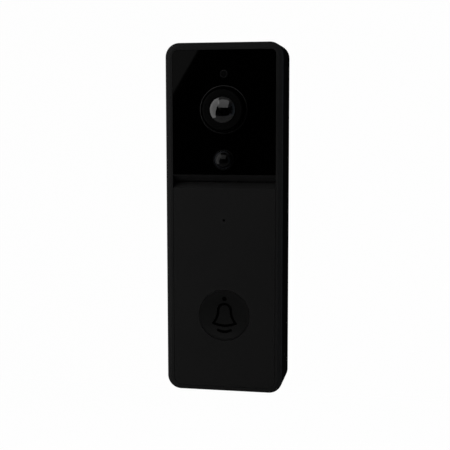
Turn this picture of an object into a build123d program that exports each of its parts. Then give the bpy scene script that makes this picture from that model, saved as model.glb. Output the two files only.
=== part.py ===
from build123d import *
import os

# A wall-mounted video doorbell, in millimetres.
#
# +Z is up, -Y is the front and +X is to the visitor's right. The origin is the centre of the
# bracket's face on the wall. A "stand-off" is a distance in front of the wall, along -Y, and
# most depths are given as stand-offs. The wall bracket stays on the wall; everything else hangs
# on its four hooks and is held down by one screw from below.

# Overall size
height = 138.6
width = 46.8
body_depth = 20.0
corner_radius = 5.5

# Clearances
fit_gap = 0.12
running_gap = 0.1
thread_clearance = 0.05
seat_gap = 0.2
cut_margin = 1.0

# Wall bracket
bracket_thickness = 2.2
bracket_clearance = 0.3
bracket_inset = 2.2
bracket_drop = 3.6
bracket_corner = 4.0
relief_depth = 0.7
relief_half_width = 12.5
relief_start = 6.0
relief_end = 41.0
wall_hole_spacing = 100.0
wall_hole_radius = 2.2
wall_head_radius = 3.8
upper_hook_drop = 25.4
lower_hook_rise = 32.1
hook_width = 3.0
hook_leg = 1.8
hook_tongue = 3.6
hook_thickness = 1.4
hook_clearance = 0.3
lift_travel = 4.2
tab_width = 11.0
tab_thickness = 2.0
tab_reach = 8.7
tab_rise = 2.9
tab_side_clearance = 0.5
screw_line = 5.6
screw_head_radius = 2.6
screw_head_height = 1.8
screw_shank_radius = 1.45
screw_reach = 4.8
screw_hole_clearance = 0.25
hex_radius = 1.3
hex_depth = 1.1
insert_radius = 2.1
insert_length = 4.8
insert_roof = 0.8
insert_cap = 0.4

# Casing
side_wall = 1.9
thick_side_wall = 2.8
back_wall = 1.6
front_wall = 3.6
rear_depth = 8.0
lip_thickness = 0.9
lip_height = 1.5
seal_thickness = 0.9
bevel_width = 1.9
bevel_drop = 0.35
edge_radius = 0.7
rear_edge_radius = 1.0
pocket_wall = 1.0
notch_wall = 1.4
notch_roof_wall = 1.6
notch_floor = 1.0
boss_wall = 0.9

# Screws through the casing and the boards
column_radius = 2.6
column_inset = 5.8
top_column_drop = 7.0
middle_column_drop = 2.5
bottom_column_rise = 8.0
rear_boss = 2.8
column_gap = 0.2
column_cap = 3.0
housing_screw_radius = 1.1
housing_screw_length = 9.5
housing_head_radius = 2.0
housing_head_sink = 0.1
cross_length = 2.2
cross_width = 0.5
cross_depth = 0.7
board_column_radius = 2.0
board_screw_radius = 0.9
board_head_radius = 1.7
board_head_height = 1.0
small_cross_length = 1.8
small_cross_width = 0.4
small_cross_depth = 0.5
main_screw_gap = 0.8
main_pilot_gap = 0.4
camera_screw_length = 4.0
camera_pilot_gap = 2.5

# Window and panel in the front
border_side = 2.85
border_top = 2.8
border_bottom = 1.8
window_height = 48.7
window_thickness = 1.6
window_corner = 2.0
adhesive_thickness = 0.3
adhesive_width = 1.5
panel_thickness = 1.8
panel_corner = 3.2
panel_pin_radius = 1.0
panel_pin_length = 1.6
panel_pin_inset = 4.0
upper_pin_drop = 7.5
lower_pin_rise = 5.0

# Groove between window and panel
groove_lip = 0.1
groove_depth = 3.2
groove_height = 2.55
groove_slot = 0.4
slot_sink = 1.2
groove_wall = 2.2
panel_lead = 2.1
panel_lip_drop = 1.0
panel_hook_height = 2.5
panel_hook_slope = 1.0
panel_edge_land = 0.4
panel_overlap = 4.0
rib_below = 3.5
rib_above = 0.6

# Camera
lens_drop = 26.05
shroud_radius = 7.8
shroud_proud = 3.4
shroud_lip = 0.4
shroud_chamfer = 0.3
shroud_flange = 1.65
shroud_window_gap = 0.45
glass_radius = 5.0
glass_flange = 6.9
glass_flange_thickness = 0.8
glass_land = 0.5
glass_proud = 5.65
ring_radius = 9.4
ring_width = 1.15
ring_proud = 0.35
ring_sink = 0.6
ring_chamfer = 0.12
ring_funnel_width = 0.85
ring_funnel_depth = 0.75
seat_flange_thickness = 1.2
barrel_radius = 6.2
barrel_bore = 4.7
barrel_stop = 2.5
barrel_stop_thickness = 0.5
barrel_lift = 2.8
element_count = 3
element_thickness = 0.8
element_rise = 0.7
element_rim = 1.0
element_gap = 0.4
holder_wall = 1.4
holder_collar = 1.3
holder_collar_height = 2.2
holder_height = 16.0
holder_aperture = 3.5
holder_corner = 1.0
filter_travel = 4.9
filter_pane_radius = 2.2
filter_pane_depth = 0.15
filter_margin = 0.7
filter_height = 7.4
filter_thickness = 0.6
filter_slide_gap = 0.15
filter_height_gap = 0.3
filter_end_gap = 0.35
filter_corner = 0.5
filter_floor = 1.4
sensor_width = 6.6
sensor_height = 5.6
sensor_thickness = 0.9
sensor_window = 9.2

# Motion sensor, light sensor and night lamps
pir_rise = 5.9
pir_radius = 4.0
pir_wall = 0.22
pir_chamfer = 0.12
pir_flange = 1.25
pir_dome_radius = 3.7
pir_dome_wall = 0.6
pir_dome_rise = 0.6
pir_bezel_proud = 0.9
pir_dome_proud = 3.75
pir_lift = 4.8
pir_can_radius = 2.3
pir_base_width = 5.6
pir_base_thickness = 1.0
pir_can_entry = 0.6
light_drop = 12.2
light_radius = 1.7
light_flange = 1.1
light_sink = 0.1
light_rim = 0.6
light_dimple = 0.3
light_chip_width = 2.0
light_chip_thickness = 0.8
lamp_inset = 1.8
lamp_rise = 9.5
lamp_size = 3.4
lamp_base = 1.0
lamp_land = 0.4
lamp_dome = 1.0
lamp_rim = 0.2
lamp_hole_margin = 1.3

# Bell button
button_rise = 31.0
button_radius = 10.1
button_gap = 0.15
button_flange = 1.0
button_flange_thickness = 0.85
button_flange_gap = 0.3
button_dish = 0.9
button_rim = 0.6
button_travel = 0.5
post_radius = 2.0
post_standoff = 0.15
seal_web = 0.8
seal_flange = 2.9
switch_size = 6.0
switch_height = 2.4
switch_corner = 0.3
plunger_radius = 1.75
plunger_sink = 1.0
plunger_floor_gap = 0.15

# Bell sign, from the middle of the button
sign_depth = 0.45
sign_sink = 0.15
sign_stroke = 1.02
sign_crown = 3.1
sign_shoulder = 1.85
sign_half_width = 5.35
sign_hem = -3.5
sign_mouth = -4.85
sign_tip_radius = 0.3
sign_knob = 0.95
sign_knob_level = 6.55
clapper_thickness = 1.12
clapper_half_width = 2.6
clapper_end = -5.55
clapper_middle = -6.2
clapper_bulge = 0.5

# Boards and what they carry
board_thickness = 1.2
board_corner = 1.0
board_gap = 0.4
board_hole_clearance = 0.2
main_board_sink = 3.9
main_board_drop = 5.5
main_board_margin = 0.4
main_column_inset = 3.3
main_top_column_drop = 3.5
main_bottom_column_rise = 8.8
camera_board_sink = 6.7
camera_board_rise = 1.5
camera_board_margin = 1.5
camera_column_inset = 2.3
camera_column_drop = 2.5
camera_column_rise = 5.2
shield_width = 20.0
shield_height = 15.0
shield_thickness = 1.6
shield_wall = 0.4
shield_corner = 0.8
shield_x = -2.0
wifi_width = 12.0
wifi_height = 9.0
wifi_board = 0.8
wifi_can = 1.4
wifi_can_width = 9.7
wifi_can_margin = 0.3
wifi_column_gap = 0.5
wifi_rise = 11.3
microphone_drop = 12.8
microphone_hole = 0.5
microphone_width = 3.8
microphone_height = 3.0
microphone_thickness = 1.1
microphone_port = 0.3
microphone_port_depth = 0.5
boot_radius = 2.6
ribbon_half_width = 1.4
ribbon_thickness = 0.25
ribbon_overlap = 3.0
ribbon_run = 4.0
ribbon_slope = 4.0
ribbon_end = 2.5
ribbon_side_gap = 2.1
antenna_width = 17.0
antenna_height = 10.0
antenna_thickness = 0.3
antenna_x = -5.5
antenna_corner = 0.8

# Battery, speaker and duct
battery_drop = 4.5
battery_foot_gap = 1.3
battery_side_gap = 0.4
battery_board_gap = 1.5
battery_corner = 2.5
battery_edge = 0.8
foam_thickness = 0.4
foam_side_margin = 4.0
foam_end_margin = 5.0
foam_corner = 1.0
tail_half_width = 3.0
tail_thickness = 0.25
tail_lift = 3.0
tail_reach = 2.5
tail_x = -3.5
speaker_side_gap = 0.7
speaker_length = 19.0
speaker_board_gap = 1.5
speaker_offset = 3.25
speaker_corner = 2.0
speaker_mouth = 2.8
speaker_mouth_depth = 0.6
duct_width = 11.0
duct_height = 7.6
duct_wall = 1.0
duct_corner = 1.5

# Socket, flap, reset button and tamper switch
socket_width = 9.0
socket_height = 3.2
socket_length = 7.3
socket_wall = 0.35
socket_back = 1.2
socket_hole_clearance = 0.25
socket_gap = 0.15
tongue_side_gap = 1.2
tongue_thickness = 0.7
tongue_inset = 1.6
flap_thickness = 1.15
flap_gap = 0.15
flap_width = 6.4
flap_left = 8.4
flap_right = 11.6
flap_corner = 1.5
flap_plug_height = 1.1
flap_plug_gap = 0.7
finger_notch = 2.5
reset_x = 8.5
reset_radius = 1.3
reset_flange = 0.3
reset_flange_thickness = 0.6
reset_stem_radius = 0.7
reset_stem_length = 1.3
reset_travel = 0.4
reset_gap = 0.15
reset_switch_width = 3.8
reset_switch_height = 3.0
reset_switch_bore = 1.6
tamper_inset = 6.3
tamper_drop = 13.4
tamper_radius = 1.4
tamper_flange = 0.6
tamper_flange_thickness = 0.6
tamper_switch_gap = 0.8
tamper_stem_radius = 1.0
tamper_stem_entry = 0.8
tamper_travel = 0.5
tamper_switch_size = 6.0
tamper_switch_height = 3.4

# Stand-offs worked out from the sizes
housing_back = bracket_thickness + bracket_clearance
face = housing_back + body_depth
parting = housing_back + rear_depth
back_inside = housing_back + back_wall
web = face - front_wall
window_back = face - window_thickness
window_seat = window_back - adhesive_thickness
panel_seat = face - panel_thickness
groove_floor = face - groove_depth
slot_floor = groove_floor - slot_sink
rib_back = groove_floor - groove_wall
lip_end = parting + lip_height
seal_end = lip_end + seal_thickness
column_end = back_inside + rear_boss + column_gap
main_board_front = web - main_board_sink
main_board_back = main_board_front - board_thickness
camera_board_front = web - camera_board_sink
camera_board_back = camera_board_front - board_thickness
socket_line = main_board_front + socket_height / 2
glass_front = face + shroud_proud - shroud_lip
glass_back = glass_front - glass_flange_thickness
flange_back = web - seat_flange_thickness
battery_back = back_inside + foam_thickness
speaker_front = camera_board_back - speaker_board_gap

# Heights worked out from the sizes
top = height / 2
bottom = -height / 2
inside_bottom = bottom + thick_side_wall
window_top = top - border_top
window_bottom = window_top - window_height
panel_bottom = bottom + border_bottom
ledge_top = window_bottom - groove_lip
ledge_bottom = ledge_top - groove_height
slot_bottom = ledge_bottom - groove_slot
slot_middle = (slot_bottom + ledge_bottom) / 2
panel_top = slot_bottom - panel_lead
lens_level = top - lens_drop
light_level = top - light_drop
pir_level = window_bottom + pir_rise
button_level = bottom + button_rise
microphone_level = panel_top - microphone_drop
main_board_top = slot_bottom - main_board_drop
main_board_bottom = inside_bottom + main_board_margin
camera_board_top = top - thick_side_wall - camera_board_margin
camera_board_bottom = window_bottom + camera_board_rise
bracket_top = top - bracket_drop
tab_bottom = bottom + tab_rise
tab_top = tab_bottom + tab_thickness
notch_roof = tab_top + bracket_clearance
recess_depth = flap_thickness + flap_gap
hinge_level = bottom + flap_thickness / 2

# Distances from the middle worked out from the sizes
opening_half = width / 2 - border_side
column_side = width / 2 - column_inset
board_half_width = column_side - column_radius - board_gap
hook_side = width / 2 - side_wall - hook_clearance - hook_width / 2 - seat_gap
duct_half = duct_width / 2 - duct_wall


def at(stand_off):
    """Sketch plane facing the visitor, at a distance in front of the wall."""
    return Plane.XZ.offset(stand_off)


def span(middle, size):
    """Low and high end of a length about its middle."""
    return (middle - size / 2, middle + size / 2)


def pairs(side, levels):
    """Points left and right of the middle at each level."""
    return [(sign * side, level) for level in levels for sign in (-1, 1)]


def disc(start, end, radius, x=0.0, z=0.0, mode=Mode.ADD):
    """Round bar along the depth, between two stand-offs."""
    with BuildSketch(at(start)) as profile:
        with Locations((x, z)):
            Circle(radius)
    extrude(profile.sketch, amount=end - start, mode=mode)


def bore(start, end, radius, x=0.0, z=0.0):
    """Round hole along the depth, between two stand-offs."""
    disc(start, end, radius, x, z, mode=Mode.SUBTRACT)


def block(start, end, x_range, z_range, radius=0.0, mode=Mode.ADD):
    """Rectangular bar along the depth, with its four long edges rounded if asked."""
    x_size = x_range[1] - x_range[0]
    z_size = z_range[1] - z_range[0]
    with BuildSketch(at(start)) as profile:
        with Locations((sum(x_range) / 2, sum(z_range) / 2)):
            if radius > 0:
                RectangleRounded(x_size, z_size, radius)
            else:
                Rectangle(x_size, z_size)
    extrude(profile.sketch, amount=end - start, mode=mode)


def side_profile(points, half_width, x=0.0, mode=Mode.ADD):
    """Bar along X whose section is given by stand-off and height."""
    with BuildSketch(Plane.YZ.offset(x)) as profile:
        with BuildLine():
            Polyline([(-stand_off, z) for stand_off, z in points], close=True)
        make_face()
    extrude(profile.sketch, amount=half_width, both=True, mode=mode)


def upright(low, high, radius, x=0.0, stand_off=0.0, mode=Mode.ADD):
    """Round bar along Z, between two heights."""
    with BuildSketch(Plane.XY.offset(low)) as profile:
        with Locations((x, -stand_off)):
            Circle(radius)
    extrude(profile.sketch, amount=high - low, mode=mode)


def dome(base, apex, radius, x=0.0, z=0.0, mode=Mode.ADD):
    """Spherical cap that bulges to the front from a round base."""
    rise = apex - base
    sphere = (radius**2 + rise**2) / (2 * rise)
    with BuildSketch(Plane.YZ.offset(x)) as profile:
        with BuildLine():
            Line((-base, z), (-apex, z))
            RadiusArc((-apex, z), (-base, z + radius), sphere)
            Line((-base, z + radius), (-base, z))
        make_face()
    revolve(profile.sketch, axis=Axis((x, 0, z), (0, 1, 0)), revolution_arc=360, mode=mode)


def cross_slot(start, depth, length, slot_width, x, z):
    """Cross recess in a screw head that is turned from the back."""
    with BuildSketch(at(start)) as cross:
        with Locations((x, z)):
            Rectangle(length, slot_width)
            Rectangle(slot_width, length)
    extrude(cross.sketch, amount=depth, mode=Mode.SUBTRACT)


def outline(start, end, inset, mode=Mode.ADD):
    """The casing's rounded outline, set in from its outer face."""
    block(
        start,
        end,
        span(0, width - 2 * inset),
        span(0, height - 2 * inset),
        radius=corner_radius - inset,
        mode=mode,
    )


def front_opening(start, end, low, high, corner, gap=0.0, upper=True, mode=Mode.ADD):
    """The outline that window and panel share, rounded at its upper or lower end only."""
    with BuildSketch(at(start)) as profile:
        with Locations((0, (low + high) / 2)):
            Rectangle(2 * (opening_half - gap), high - low - 2 * gap)
        ends = profile.vertices().group_by(Axis.Y)
        fillet(ends[-1] if upper else ends[0], corner - gap)
    extrude(profile.sketch, amount=end - start, mode=mode)


def save(piece, name):
    """Label a finished piece and write its file."""
    piece.part.label = name
    export_step(piece.part, f"parts/{name}.step")


os.makedirs("parts", exist_ok=True)

column_levels = (
    top - top_column_drop,
    slot_bottom - middle_column_drop,
    bottom + bottom_column_rise,
)
column_points = pairs(column_side, column_levels)
main_levels = (main_board_top - main_top_column_drop, main_board_bottom + main_bottom_column_rise)
main_points = pairs(board_half_width - main_column_inset, main_levels)
camera_levels = (
    camera_board_top - camera_column_drop,
    camera_board_bottom + camera_column_rise,
)
camera_points = pairs(board_half_width - camera_column_inset, camera_levels)
lamp_points = pairs(board_half_width - lamp_inset, (lens_level + lamp_rise, lens_level - lamp_rise))
hook_points = pairs(hook_side, (bracket_top - upper_hook_drop, tab_bottom + lower_hook_rise))
pin_levels = (panel_top - upper_pin_drop, panel_bottom + lower_pin_rise)
pin_points = pairs(opening_half - panel_pin_inset, pin_levels)
tamper_level = bracket_top - tamper_drop
tamper_x = board_half_width - tamper_inset


# ---------------------------------------------------------------- wall bracket

tongue_back = back_inside + hook_clearance
tongue_front = tongue_back + hook_thickness

with BuildPart() as wall_bracket:
    block(
        0,
        bracket_thickness,
        span(0, width - 2 * bracket_inset),
        (tab_bottom, bracket_top),
        radius=bracket_corner,
    )
    # Shallow relief above and below a middle pad, so that the plate lies flat on a rough wall.
    for levels in ((relief_start, relief_end), (-relief_end, -relief_start)):
        block(
            0,
            relief_depth,
            (-relief_half_width, relief_half_width),
            levels,
            radius=bracket_corner,
            mode=Mode.SUBTRACT,
        )
    for level in span(0, wall_hole_spacing):
        bore(0, bracket_thickness, wall_hole_radius, z=level)
        with Locations(at(bracket_thickness).location * Location((0, level, 0))):
            Cone(
                wall_hole_radius,
                wall_head_radius,
                wall_head_radius - wall_hole_radius,
                align=(Align.CENTER, Align.CENTER, Align.MAX),
                mode=Mode.SUBTRACT,
            )
    for x, level in hook_points:
        leg = (level - hook_leg, level)
        block(bracket_thickness, tongue_front, span(x, hook_width), leg)
        tongue = (level - hook_leg, level + hook_tongue)
        block(tongue_back, tongue_front, span(x, hook_width), tongue)
    # Tab that reaches under the doorbell for the security screw.
    block(0, tab_reach, span(0, tab_width), (tab_bottom, tab_top))
    upright(
        tab_bottom,
        tab_top,
        screw_shank_radius + screw_hole_clearance,
        stand_off=screw_line,
        mode=Mode.SUBTRACT,
    )
save(wall_bracket, "wall_bracket")

screw_bottom = tab_bottom - screw_head_height

with BuildPart() as security_screw:
    upright(screw_bottom, tab_bottom, screw_head_radius, stand_off=screw_line)
    upright(tab_bottom, tab_top + screw_reach, screw_shank_radius, stand_off=screw_line)
    with BuildSketch(Plane.XY.offset(screw_bottom)):
        with Locations((0, -screw_line)):
            RegularPolygon(hex_radius, 6)
    extrude(amount=hex_depth, mode=Mode.SUBTRACT)
save(security_screw, "security_screw")


# ---------------------------------------------------------------- rear housing

insert_bottom = notch_roof + insert_roof
insert_top = insert_bottom + insert_length
notch_half = tab_width / 2 + tab_side_clearance
notch_front = tab_reach + 2 * bracket_clearance

with BuildPart() as rear_housing:
    outline(housing_back, parting, 0)
    fillet(rear_housing.faces().sort_by(Axis.Y)[-1].edges(), rear_edge_radius)
    outline(parting, lip_end, side_wall + fit_gap)
    inner_wall = side_wall + fit_gap + lip_thickness
    outline(back_inside, lip_end + cut_margin, inner_wall, mode=Mode.SUBTRACT)
    # Closed pockets that the hooks drop into, open to the back in their lower part.
    for x, level in hook_points:
        wide = hook_width + 2 * hook_clearance
        low = level - hook_leg - lift_travel - hook_clearance
        high = level + hook_tongue + hook_clearance
        deep = tongue_front + hook_clearance
        outside = (low - pocket_wall, high + pocket_wall)
        block(back_inside, deep + pocket_wall, span(x, wide + 2 * pocket_wall), outside)
        block(back_inside, deep, span(x, wide), (low, high), mode=Mode.SUBTRACT)
        mouth = (low, level + thread_clearance)
        block(housing_back, back_inside, span(x, wide), mouth, mode=Mode.SUBTRACT)
    # Housing screws come in from the back, with their heads sunk in.
    for x, level in column_points:
        disc(back_inside, back_inside + rear_boss, column_radius, x, level)
        bore(housing_back, back_inside, housing_head_radius + seat_gap, x, level)
        bore(back_inside, back_inside + rear_boss, housing_screw_radius + seat_gap, x, level)
    # Notch for the bracket's tab and its screw, walled off from the inside.
    block(
        back_inside,
        parting,
        span(0, 2 * (notch_half + notch_wall)),
        (bottom + notch_floor, notch_roof + notch_roof_wall),
    )
    boss_radius = insert_radius + boss_wall
    upright(notch_roof, insert_top + insert_cap, boss_radius, stand_off=screw_line)
    block(
        housing_back,
        notch_front,
        span(0, 2 * notch_half),
        (bottom, notch_roof),
        mode=Mode.SUBTRACT,
    )
    upright(notch_roof, insert_top, insert_radius, stand_off=screw_line, mode=Mode.SUBTRACT)
    bore(housing_back, back_inside, tamper_radius + running_gap, tamper_x, tamper_level)
save(rear_housing, "rear_housing")

with BuildPart() as screw_insert:
    upright(insert_bottom, insert_top, insert_radius - thread_clearance / 2, stand_off=screw_line)
    upright(
        insert_bottom,
        insert_top,
        screw_shank_radius + running_gap,
        stand_off=screw_line,
        mode=Mode.SUBTRACT,
    )
save(screw_insert, "screw_insert")


# ---------------------------------------------------------------- front housing

with BuildPart() as front_housing:
    outline(parting, face, 0)
    rim = front_housing.faces().sort_by(Axis.Y)[0]
    chamfer(rim.edges(), length=bevel_width, length2=bevel_drop, reference=rim)
    bevel_edge = bevel_drop - face
    edges = front_housing.edges()
    fillet(edges.filter_by(lambda edge: abs(edge.center().Y - bevel_edge) < 1e-3), edge_radius)
    # Hollow: wide at the joint, where the lip and its seal go in, and narrower in front.
    outline(parting, seal_end, side_wall, mode=Mode.SUBTRACT)
    outline(seal_end, web, thick_side_wall, mode=Mode.SUBTRACT)
    # Columns for the housing screws.
    for x, level in column_points:
        disc(column_end, web, column_radius, x, level)
        bore(column_end, web - column_cap, housing_screw_radius + thread_clearance, x, level)
    # Rib behind the groove.
    rib_levels = (slot_bottom - rib_below, window_bottom + rib_above)
    block(rib_back, web, span(0, width - 2 * side_wall), rib_levels)
    # Window pocket, panel pocket and the groove between them.
    front_opening(
        window_seat, face, window_bottom, window_top, window_corner, mode=Mode.SUBTRACT
    )
    front_opening(
        panel_seat,
        face,
        panel_bottom,
        panel_top,
        panel_corner,
        upper=False,
        mode=Mode.SUBTRACT,
    )
    hook_seat = slot_bottom - panel_hook_height - running_gap
    side_profile(
        [
            (face + cut_margin, ledge_top),
            (face, ledge_top),
            (groove_floor, ledge_bottom),
            (slot_floor, ledge_bottom),
            (slot_floor, slot_bottom),
            (groove_floor, slot_bottom),
            (groove_floor, hook_seat),
            (panel_seat, hook_seat - panel_hook_slope),
            (face + cut_margin, hook_seat - panel_hook_slope),
        ],
        opening_half,
        mode=Mode.SUBTRACT,
    )
    # Mouth of the speaker's duct, in the slot at the bottom of the groove.
    slot_levels = (slot_bottom, ledge_bottom)
    block(rib_back, slot_floor, (-duct_half, duct_half), slot_levels, mode=Mode.SUBTRACT)
    # Holes through the front wall.
    bore(web, face, shroud_radius + seat_gap, z=lens_level)
    bore(web, face, pir_radius + running_gap, z=pir_level)
    bore(web, face, light_radius + fit_gap, z=light_level)
    bore(web, face, button_radius + button_flange + button_flange_gap, z=button_level)
    bore(web, face, microphone_hole + running_gap, z=microphone_level)
    for x, level in lamp_points:
        bore(web, face, lamp_size / 2 + lamp_hole_margin, x, level)
    for x, level in pin_points:
        bore(web, face, panel_pin_radius + thread_clearance, x, level)
    # Columns for the two boards.
    for points, start, pilot in (
        (main_points, main_board_front, web - main_pilot_gap),
        (camera_points, camera_board_front, web - camera_pilot_gap),
    ):
        for x, level in points:
            disc(start, web, board_column_radius, x, level)
            bore(start, pilot, board_screw_radius + thread_clearance, x, level)
    # Bottom end: recess for the flap, mouth of the socket and hole for the reset button.
    recess_left = -flap_left - flap_thickness / 2 - flap_gap
    recess_right = flap_right + flap_gap
    with BuildSketch(Plane.XY.offset(bottom)):
        with Locations(((recess_left + recess_right) / 2, -socket_line)):
            Rectangle(recess_right - recess_left, flap_width + 2 * flap_gap)
        with Locations((flap_right + finger_notch / 2, -socket_line)):
            Rectangle(finger_notch, flap_width / 2)
    extrude(amount=recess_depth, mode=Mode.SUBTRACT)
    with BuildSketch(Plane.XY.offset(bottom)):
        with Locations((0, -socket_line)):
            SlotOverall(
                socket_width + 2 * socket_hole_clearance,
                socket_height + 2 * socket_hole_clearance,
            )
        with Locations((reset_x, -socket_line)):
            Circle(reset_radius + reset_gap)
    extrude(amount=thick_side_wall, mode=Mode.SUBTRACT)
save(front_housing, "front_housing")

with BuildPart() as housing_seal:
    outline(lip_end, seal_end, side_wall + fit_gap)
    outline(lip_end, seal_end, side_wall + fit_gap + lip_thickness, mode=Mode.SUBTRACT)
save(housing_seal, "housing_seal")

with BuildPart() as housing_screws:
    for x, level in column_points:
        head_back = housing_back + housing_head_sink
        disc(head_back, back_inside, housing_head_radius, x, level)
        disc(back_inside, back_inside + housing_screw_length, housing_screw_radius, x, level)
        cross_slot(head_back, cross_depth, cross_length, cross_width, x, level)
save(housing_screws, "housing_screws")


# ---------------------------------------------------------------- face panel and window

with BuildPart() as face_panel:
    front_opening(
        panel_seat, face, panel_bottom, panel_top, panel_corner, gap=fit_gap, upper=False
    )
    side_profile(
        [
            (face, panel_top - panel_lip_drop - fit_gap),
            (face, panel_top),
            (groove_floor + panel_edge_land, slot_bottom),
            (groove_floor, slot_bottom),
            (groove_floor, slot_bottom - panel_hook_height),
            (panel_seat, slot_bottom - panel_hook_height - panel_hook_slope),
            (panel_seat, panel_top - panel_overlap - fit_gap),
        ],
        opening_half - fit_gap,
    )
    bore(panel_seat, face, button_radius + button_gap, z=button_level)
    bore(panel_seat, face, microphone_hole, z=microphone_level)
    for x, level in pin_points:
        disc(panel_seat - panel_pin_length, panel_seat, panel_pin_radius, x, level)
save(face_panel, "face_panel")

with BuildPart() as camera_window:
    front_opening(window_back, face, window_bottom, window_top, window_corner, gap=fit_gap)
    bore(window_back, face, shroud_radius + shroud_window_gap, z=lens_level)
    bore(face - ring_sink, face, ring_radius + thread_clearance, z=lens_level)
    bore(window_back, face, pir_radius + running_gap, z=pir_level)
    bore(window_back, face, light_radius + fit_gap, z=light_level)
save(camera_window, "camera_window")

with BuildPart() as window_adhesive:
    front_opening(
        window_seat,
        window_back,
        window_bottom,
        window_top,
        window_corner,
        gap=fit_gap + seat_gap,
    )
    block(
        window_seat,
        window_back,
        span(0, 2 * (opening_half - adhesive_width)),
        (window_bottom + adhesive_width, window_top - adhesive_width),
        radius=window_corner / 2,
        mode=Mode.SUBTRACT,
    )
save(window_adhesive, "window_adhesive")


# ---------------------------------------------------------------- camera

with BuildPart() as lens_ring:
    disc(face - ring_sink, face + ring_proud, ring_radius, z=lens_level)
    chamfer(lens_ring.faces().sort_by(Axis.Y)[0].edges(), ring_chamfer)
    bore(face - ring_sink, face + ring_proud, ring_radius - ring_width, z=lens_level)
    land = lens_ring.faces().sort_by(Axis.Y)[0]
    mouth = land.edges().sort_by(SortBy.RADIUS)[0]
    chamfer(mouth, length=ring_funnel_width, length2=ring_funnel_depth, reference=land)
save(lens_ring, "lens_ring")

with BuildPart() as lens_shroud:
    disc(flange_back, face + shroud_proud, shroud_radius, z=lens_level)
    chamfer(lens_shroud.faces().sort_by(Axis.Y)[0].edges(), shroud_chamfer)
    disc(flange_back, web, shroud_radius + shroud_flange, z=lens_level)
    bore(flange_back, glass_front, glass_flange + running_gap, z=lens_level)
    bore(glass_front, face + shroud_proud, glass_radius + running_gap, z=lens_level)
save(lens_shroud, "lens_shroud")

with BuildPart() as lens_glass:
    disc(glass_back, glass_front, glass_flange, z=lens_level)
    disc(glass_front, glass_front + glass_land, glass_radius, z=lens_level)
    dome(glass_front + glass_land, face + glass_proud, glass_radius, z=lens_level)
save(lens_glass, "lens_glass")

barrel_back = camera_board_front + barrel_lift
barrel_floor = barrel_back + barrel_stop_thickness

with BuildPart() as lens_barrel:
    disc(barrel_back, glass_back, barrel_radius, z=lens_level)
    bore(barrel_floor, glass_back, barrel_bore, z=lens_level)
    bore(barrel_back, glass_back, barrel_stop, z=lens_level)
save(lens_barrel, "lens_barrel")

element_start = barrel_floor + element_gap
element_pitch = (glass_back - element_start - element_gap / 2) / element_count

with BuildPart() as lens_elements:
    for index in range(element_count):
        start = element_start + index * element_pitch
        land = start + element_thickness
        disc(start, land, barrel_bore - thread_clearance, z=lens_level)
        dome(land, land + element_rise, barrel_bore - element_rim, z=lens_level)
save(lens_elements, "lens_elements")

slot_back = camera_board_front + filter_floor
slot_front = slot_back + filter_thickness + 2 * filter_slide_gap
carrier_end = filter_pane_radius + filter_margin
slot_half = filter_travel + carrier_end + filter_end_gap
slot_height = filter_height + 2 * filter_height_gap
collar_front = barrel_back + holder_collar_height

with BuildPart() as lens_holder:
    block(
        camera_board_front,
        barrel_back,
        span(0, 2 * (slot_half + holder_wall)),
        span(lens_level, holder_height),
        radius=holder_corner,
    )
    disc(barrel_back, collar_front, barrel_radius + holder_collar, z=lens_level)
    bore(barrel_back, collar_front, barrel_radius + thread_clearance, z=lens_level)
    bore(slot_front, barrel_back, holder_aperture, z=lens_level)
    block(
        slot_back,
        slot_front,
        (-slot_half, slot_half),
        span(lens_level, slot_height),
        mode=Mode.SUBTRACT,
    )
    block(
        camera_board_front,
        slot_back,
        span(0, sensor_window),
        span(lens_level, slot_height),
        mode=Mode.SUBTRACT,
    )
save(lens_holder, "lens_holder")

# The filter carrier has two panes, and slides to bring one or the other over the sensor.
carrier_back = slot_back + filter_slide_gap
carrier_front = carrier_back + filter_thickness

with BuildPart() as ir_cut_filter:
    block(
        carrier_back,
        carrier_front,
        (-filter_travel - carrier_end, carrier_end),
        span(lens_level, filter_height),
        radius=filter_corner,
    )
    for x in (0, -filter_travel):
        bore(carrier_front - filter_pane_depth, carrier_front, filter_pane_radius, x, lens_level)
save(ir_cut_filter, "ir_cut_filter")

with BuildPart() as image_sensor:
    block(
        camera_board_front,
        camera_board_front + sensor_thickness,
        span(0, sensor_width),
        span(lens_level, sensor_height),
    )
save(image_sensor, "image_sensor")

with BuildPart() as camera_board:
    block(
        camera_board_back,
        camera_board_front,
        (-board_half_width, board_half_width),
        (camera_board_bottom, camera_board_top),
        radius=board_corner,
    )
    for x, level in camera_points:
        clear_radius = board_screw_radius + board_hole_clearance
        bore(camera_board_back, camera_board_front, clear_radius, x, level)
save(camera_board, "camera_board")

with BuildPart() as ir_leds:
    for x, level in lamp_points:
        base = camera_board_front + lamp_base
        lens_radius = lamp_size / 2 - lamp_rim
        block(camera_board_front, base, span(x, lamp_size), span(level, lamp_size))
        disc(base, base + lamp_land, lens_radius, x, level)
        dome(base + lamp_land, base + lamp_land + lamp_dome, lens_radius, x, level)
save(ir_leds, "ir_leds")


# ---------------------------------------------------------------- light sensor and motion sensor

light_chip_front = camera_board_front + light_chip_thickness

with BuildPart() as light_pipe:
    disc(light_chip_front + running_gap, face - light_sink, light_radius, z=light_level)
    disc(flange_back, web, light_radius + light_flange, z=light_level)
    light_front = face - light_sink
    bore(light_front - light_dimple, light_front, light_radius - light_rim, z=light_level)
save(light_pipe, "light_pipe")

with BuildPart() as light_sensor:
    block(
        camera_board_front,
        light_chip_front,
        span(0, light_chip_width),
        span(light_level, light_chip_width),
    )
save(light_sensor, "light_sensor")

bezel_front = face + pir_bezel_proud

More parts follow.
